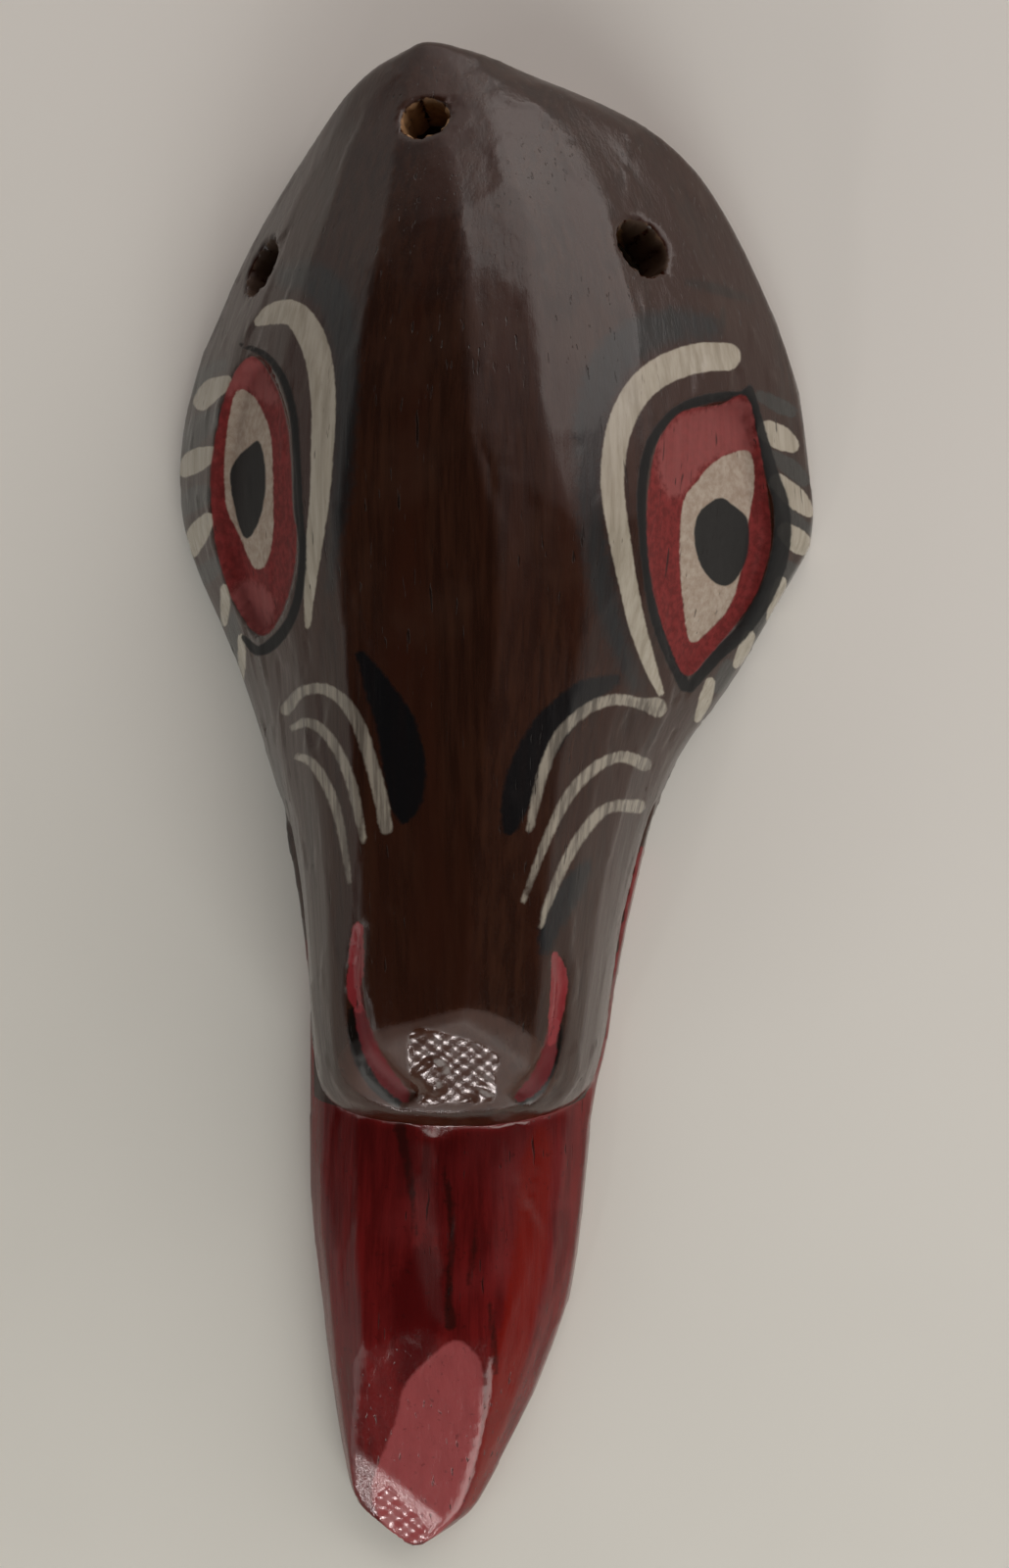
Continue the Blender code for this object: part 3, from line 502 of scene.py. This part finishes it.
def lay_paint(piece, inside):
    """Writes how far inside each painted area every vertex is, in metres."""
    mesh = piece.data
    places, normals = read_vertices(mesh, "co"), read_vertices(mesh, "normal")
    pixels, scale = to_pixels(places)
    facing = normals @ np.array(camera_axes()[2])
    reach = np.where(inside, FAR, (facing - LEAST_FACING) * FACING_DISTANCE)

    def write(name, values):
        attribute = mesh.attributes.new(name, "FLOAT", "POINT")
        attribute.data.foreach_set("value", values.astype(np.float32))

    def paint(name, pixels_inside):
        write(name, np.maximum(np.minimum(pixels_inside * scale, reach), FAR))

    for name, strokes in STROKES.items():
        paint(name, inside_strokes(pixels, strokes))
    for name, shapes in OUTLINES.items():
        paint(name, np.max([inside_outline(pixels, shape) for shape in shapes], axis=0))
    depths = np.array([around_hole(places, hole)[0] for hole in HOLES])
    write("bare", np.where(inside, DEEP, depths.max(0) + CHIPPED_RIM))
    # Painted shade: the ear holes are painted nearly black inside, the crown's hole is fresh wood
    write("hole_shade", np.where(inside, 0.0, np.interp(depths[1:].max(0), HOLE_SHADE_EDGE, (0, 1))))
    top = np.interp(places[:, 1], (LIP_Y - LIP_RUN, LIP_Y), (TONGUE_TOP, JAW_TOP))
    corner = np.where(places[:, 0] < 0, *RED_STARTS_Y)
    write("mouth", np.where(inside, FAR, np.minimum(top - places[:, 2], corner - places[:, 1])))


class Nodes:
    """A small helper that adds linked nodes to one node tree."""

    def __init__(self, tree):
        self.tree = tree

    def node(self, kind, inputs=None, **settings):
        made = self.tree.nodes.new(kind)
        for key, value in settings.items():
            setattr(made, key, value)
        for key, value in (inputs or {}).items():
            if isinstance(value, bpy.types.NodeSocket):
                self.tree.links.new(value, made.inputs[key])
            else:
                made.inputs[key].default_value = value
        return made

    def math(self, operation, a, b=0.0, clamp=False):
        return self.node("ShaderNodeMath", {0: a, 1: b}, operation=operation, use_clamp=clamp).outputs[0]

    def vector_math(self, operation, inputs):
        return self.node("ShaderNodeVectorMath", inputs, operation=operation).outputs

    def noise(self, vector, scale, detail, roughness=0.55, distortion=0.0):
        made = self.node("ShaderNodeTexNoise", {"Vector": vector, "Scale": scale, "Detail": detail,
                                                "Roughness": roughness, "Distortion": distortion})
        return made.outputs["Fac"]

    def step(self, value, low, high, to_low=0.0, to_high=1.0):
        """Eases from one value to another as the input goes from low to high."""
        made = self.node("ShaderNodeMapRange", {"Value": value, "From Min": low, "From Max": high,
                                                "To Min": to_low, "To Max": to_high},
                         interpolation_type="SMOOTHSTEP")
        return made.outputs["Result"]

    def mix(self, amount, a, b):
        """A colour between two, each given as red, green and blue or as a socket."""
        a, b = (c if isinstance(c, bpy.types.NodeSocket) else (*c, 1.0) for c in (a, b))
        return self.node("ShaderNodeMix", {0: amount, 6: a, 7: b}, data_type="RGBA").outputs[2]

    def between(self, amount, a, b):
        """A number between two."""
        return self.node("ShaderNodeMix", {0: amount, 2: a, 3: b}, data_type="FLOAT").outputs[0]

    def attribute(self, name):
        return self.node("ShaderNodeAttribute", attribute_name=name).outputs["Fac"]

    def position(self):
        return self.node("ShaderNodeNewGeometry").outputs["Position"]

    def ramp(self, value, stops):
        """A colour ramp over a value from 0 to 1."""
        made = self.node("ShaderNodeValToRGB", {0: value})
        made.color_ramp.elements[1].position = 1.0
        for _ in stops[2:]:
            made.color_ramp.elements.new(0.5)
        for element, (position, tint) in zip(made.color_ramp.elements, stops):
            element.position = position
            element.color = (*tint, 1.0)
        return made.outputs[0]


def new_material(name):
    """A material, a helper for its nodes, and the sockets of its shader."""
    material = bpy.data.materials.new(name)
    material.use_nodes = True
    return material, Nodes(material.node_tree), material.node_tree.nodes["Principled BSDF"].inputs


def painted_wood():
    """Brown oil paint with brushed strokes of other colours, under an old gloss varnish."""
    material, s, surface = new_material("painted_wood")
    where = s.position()

    def lengthwise(share):
        """Places drawn together along the mask, so that a noise over them runs lengthwise."""
        return s.node("ShaderNodeMapping", {"Vector": where, "Scale": (1.0, share, 1.0)}).outputs[0]

    along = lengthwise(0.07)
    streaks = s.noise(along, 420.0, 6.0, 0.62)
    broad = s.noise(along, 70.0, 3.0, 0.5)
    cloud = s.noise(where, 38.0, 3.0, 0.5)
    fine = s.noise(where, 1500.0, 3.0, 0.6)
    brush = s.noise(where, 520.0, 4.0, 0.6)

    def area(name, soft, ragged):
        """The share of an area's paint at a place, with its edge ragged by the brush."""
        shift = s.math("MULTIPLY", s.math("SUBTRACT", brush, 0.5), ragged)
        return s.step(s.math("ADD", s.attribute(name), shift), -soft, soft)

    def coats(base, layers):
        """Lays paint over paint: the area, its colour, how soft and how ragged its edge is in
        metres, how well it covers, and how much thinner it is where the brush ran dry."""
        for name, tint, soft, ragged, cover, dry in layers:
            amount = area(name, soft, ragged)
            if dry:
                amount = s.math("MULTIPLY", amount, s.step(streaks, 0.25, 0.62, 1.0 - dry, 1.0))
            base = s.mix(s.math("MULTIPLY", amount, cover), base, tint)
        return base

    def spots(noise, low, high, cover):
        return s.math("MULTIPLY", s.step(noise, low, high), cover)

    brown = s.mix(s.step(streaks, 0.35, 0.68), (0.019, 0.0062, 0.0032), (0.036, 0.013, 0.0066))
    brown = s.mix(s.step(broad, 0.42, 0.66), brown, (0.030, 0.0085, 0.0040))
    brown = s.mix(spots(cloud, 0.5, 0.75, 0.4), brown, (0.050, 0.024, 0.015))
    whisker = s.mix(s.step(streaks, 0.36, 0.62), (0.17, 0.155, 0.13), (0.34, 0.315, 0.26))
    white = s.mix(s.step(streaks, 0.3, 0.7), (0.33, 0.30, 0.235), (0.44, 0.41, 0.34))
    red = s.mix(s.step(brush, 0.36, 0.66), (0.12, 0.0060, 0.0055), (0.20, 0.016, 0.016))
    # Painted sheen: a paler pink laid on parts of the eye rings
    red = coats(red, (("ring_sheen", (0.27, 0.072, 0.070), 0.0012, 0.004, 0.75, 0.3),))
    eye = s.mix(s.step(brush, 0.25, 0.75), (0.31, 0.245, 0.19), (0.43, 0.375, 0.31))
    tongue = s.mix(s.step(streaks, 0.35, 0.68), (0.088, 0.0048, 0.0048), (0.145, 0.0085, 0.0085))
    tongue = s.mix(spots(cloud, 0.48, 0.7, 0.6), tongue, (0.175, 0.017, 0.018))
    tongue = coats(tongue, (
        # Painted shade in the tongue's channel
        ("channel_shade", (0.060, 0.0018, 0.0022), 0.0022, 0.004, 0.8, 0.2),
        ("orange", (0.17, 0.0060, 0.0022), 0.0012, 0.003, 0.85, 0.25),
        # Painted sheen: pale pink over the tongue's end facet
        ("tongue_end_sheen", (0.36, 0.078, 0.082), 0.0006, 0.0012, 0.75, 0.15),
        # Painted shade in the tongue's grooves
        ("tongue_groove_shade", (0.012, 0.004, 0.0025), 0.0006, 0.0016, 0.75, 0.3),
    ))
    tongue = s.mix(spots(brush, 0.60, 0.72, 0.35), tongue, (0.010, 0.003, 0.003))
    paint = coats(brown, (
        ("blue", (0.011, 0.016, 0.018), 0.0020, 0.004, 0.85, 0.4),
        ("bands", (0.0035, 0.0042, 0.0052), 0.0006, 0.0018, 0.96, 0.1),
        ("smear", (0.006, 0.009, 0.011), 0.0010, 0.004, 0.9, 0.4),
        ("lash_grey", (0.034, 0.037, 0.035), 0.0005, 0.0014, 0.85, 0.2),
        # Partly the nose front's own tint, partly a painted sheen of its varnish
        ("nose_front", (0.085, 0.034, 0.020), 0.0012, 0.004, 0.45, 0.3),
        ("smudges", (0.008, 0.007, 0.006), 0.0008, 0.0020, 0.75, 0.5),
        ("whiskers", whisker, 0.0004, 0.0010, 0.90, 0.35),
        ("white", white, 0.0003, 0.0007, 0.97, 0.1),
        ("black", (0.0035, 0.0042, 0.0045), 0.0004, 0.0009, 0.97, 0.0),
        ("ring", red, 0.0003, 0.0007, 0.98, 0.0),
        ("eye_white", eye, 0.0003, 0.0007, 0.98, 0.0),
        ("pupil", (0.007, 0.0085, 0.009), 0.0003, 0.0006, 0.98, 0.0),
        ("shadows", (0.006, 0.004, 0.003), 0.0004, 0.0012, 1.0, 0.0),
        ("grooves", (0.125, 0.0030, 0.0075), 0.0004, 0.0016, 0.95, 0.2),
        ("nostrils", (0.24, 0.026, 0.032), 0.0003, 0.0012, 0.95, 0.25),
        ("mouth", tongue, 0.0003, 0.0008, 1.0, 0.0),
    ))
    pores = s.noise(lengthwise(0.10), 900.0, 2.0, 0.5)
    dark = s.math("MULTIPLY", s.step(pores, 0.66, 0.72), s.step(cloud, 0.40, 0.60))
    paint = s.mix(s.math("MULTIPLY", dark, 0.75), paint, (0.006, 0.0035, 0.0025))

    grain = s.noise(lengthwise(0.05), 300.0, 5.0, 0.6, 0.4)
    wood = s.mix(s.step(grain, 0.3, 0.7), (0.20, 0.105, 0.045), (0.42, 0.25, 0.115))
    wood = s.mix(spots(cloud, 0.45, 0.75, 0.55), wood, (0.13, 0.070, 0.035))
    # Painted shade deep in the ear holes: the wood darkened nearly black
    wood = s.mix(s.math("MULTIPLY", s.attribute("hole_shade"), 0.92), wood, (0.022, 0.009, 0.004))
    bare = area("bare", 0.0002, 0.0016)
    s.tree.links.new(s.mix(bare, paint, wood), surface["Base Color"])

    # The varnish is glossy, worn dull on the nose, and thin over the eyes and in the nostril cuts
    glint = area("glint", 0.0006, 0.0010)
    groove = s.math("MULTIPLY", area("grooves", 0.0004, 0.0004), 0.7)
    worn = s.math("SUBTRACT", area("nose_front", 0.0010, 0.0010), s.math("ADD", glint, groove),
                  clamp=True)
    thin = s.math("MAXIMUM", area("ring", 0.0004, 0.0004), area("black", 0.0004, 0.0004))
    rough = s.math("SUBTRACT", s.step(fine, 0.3, 0.7, 0.14, 0.22), s.math("MULTIPLY", glint, 0.04))
    rough = s.between(worn, rough, 0.50)
    rough = s.between(s.math("MAXIMUM", thin, groove), rough, 0.80)
    rough = s.between(bare, rough, 0.75)
    s.tree.links.new(rough, surface["Roughness"])
    surface["Metallic"].default_value = 0.0
    surface["IOR"].default_value = 1.46

    # Brush strokes stand up a little, pores are sunk, and dimples cover the places that glint
    strokes = s.math("MULTIPLY", streaks, s.math("SUBTRACT", 0.7, s.math("MULTIPLY", glint, 0.6)))
    height = s.math("ADD", strokes, s.math("MULTIPLY", fine, 0.08))
    height = s.math("SUBTRACT", height, s.math("MULTIPLY", dark, 0.5))
    place = s.node("ShaderNodeSeparateXYZ", {0: where}).outputs
    waver = s.math("MULTIPLY", cloud, 4.0)
    across, down = (
        s.math("SINE", s.math("ADD", s.math("MULTIPLY", place[axis], math.pi / step), waver))
        for axis, step in (("X", DIMPLE_ACROSS), ("Y", DIMPLE_ALONG))
    )
    dimples = s.math("MULTIPLY", s.math("MULTIPLY", across, down), glint)
    height = s.math("ADD", height, s.math("MULTIPLY", dimples, 0.5))
    bump = s.node("ShaderNodeBump", {"Height": height, "Strength": 0.5, "Distance": 0.00035})
    s.tree.links.new(bump.outputs["Normal"], surface["Normal"])
    return material


def make_floor():
    """A pale painted board, with painted light that makes it paler towards the window."""
    bpy.ops.mesh.primitive_plane_add(size=FLOOR_SIZE, location=(0, 0, FLOOR_Z))
    floor = bpy.context.object
    floor.name = "floor"
    material, s, surface = new_material("floor_board")
    where = s.position()
    board = s.mix(s.step(s.noise(where, 6.0, 3.0), 0.3, 0.7), *BOARD_COLOURS)
    # Painted light: the board is made paler towards the window
    toward = s.vector_math("DOT_PRODUCT", {0: where, 1: FLOOR_LIGHT_WAY})["Value"]
    s.tree.links.new(s.mix(s.step(toward, *FLOOR_LIGHT_ENDS), board, LIT_BOARD), surface["Base Color"])
    surface["Roughness"].default_value = 0.7
    floor.data.materials.append(material)


def make_lamp(name, place, size, power, tint):
    data = bpy.data.lights.new(name, "AREA")
    data.shape = "RECTANGLE"
    data.size, data.size_y = size
    data.energy = power
    data.color = tint
    lamp = bpy.data.objects.new(name, data)
    bpy.context.scene.collection.objects.link(lamp)
    lamp.location = place
    lamp.rotation_mode = "QUATERNION"
    lamp.rotation_quaternion = (LAMP_AIM - Vector(place)).to_track_quat("-Z", "Y")


def make_room():
    """A dim pale room with a wide bright window beyond the crown, to the right."""
    world = bpy.data.worlds.new("room")
    bpy.context.scene.world = world
    world.use_nodes = True
    s = Nodes(world.node_tree)
    where = s.node("ShaderNodeTexCoord").outputs["Generated"]
    toward = s.vector_math("DOT_PRODUCT", {0: where, 1: WINDOW_DIRECTION.normalized()})["Value"]
    way = s.node("ShaderNodeSeparateXYZ", {0: where}).outputs
    lit = s.node("ShaderNodeMapRange", {"Value": way["Y"], "From Min": SHADE_FROM,
                                        "From Max": SHADE_TO, "To Min": SHADED_SHARE})
    walls = s.vector_math("SCALE", {0: s.ramp(way["Z"], WALL_GLOW), "Scale": lit.outputs["Result"]})
    both = s.node("ShaderNodeMix", {0: 1.0, 6: s.ramp(toward, WINDOW_GLOW), 7: walls["Vector"]},
                  data_type="RGBA", blend_type="ADD")
    background = s.tree.nodes["Background"].inputs
    s.tree.links.new(both.outputs[2], background["Color"])
    background["Strength"].default_value = ROOM_STRENGTH


def main():
    make_camera()
    make_room()
    for lamp in LAMPS:
        make_lamp(*lamp)
    make_floor()
    carving = fine_copy(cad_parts["mask"])
    relax(carving.data)
    inside = find_inside(carving)
    carve(carving, inside)
    lay_paint(carving, inside)
    carving.data.shade_smooth()
    carving.data.materials.append(painted_wood())
    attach(carving, "root")
    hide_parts("mask")
    bpy.context.scene.view_settings.view_transform = "Standard"


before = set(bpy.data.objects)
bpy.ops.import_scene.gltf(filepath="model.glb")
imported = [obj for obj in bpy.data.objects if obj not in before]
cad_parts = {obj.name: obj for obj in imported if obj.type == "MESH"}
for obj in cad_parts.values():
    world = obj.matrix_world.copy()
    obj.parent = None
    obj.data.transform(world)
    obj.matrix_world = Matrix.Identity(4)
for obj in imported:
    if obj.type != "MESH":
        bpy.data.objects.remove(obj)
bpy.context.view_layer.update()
main()
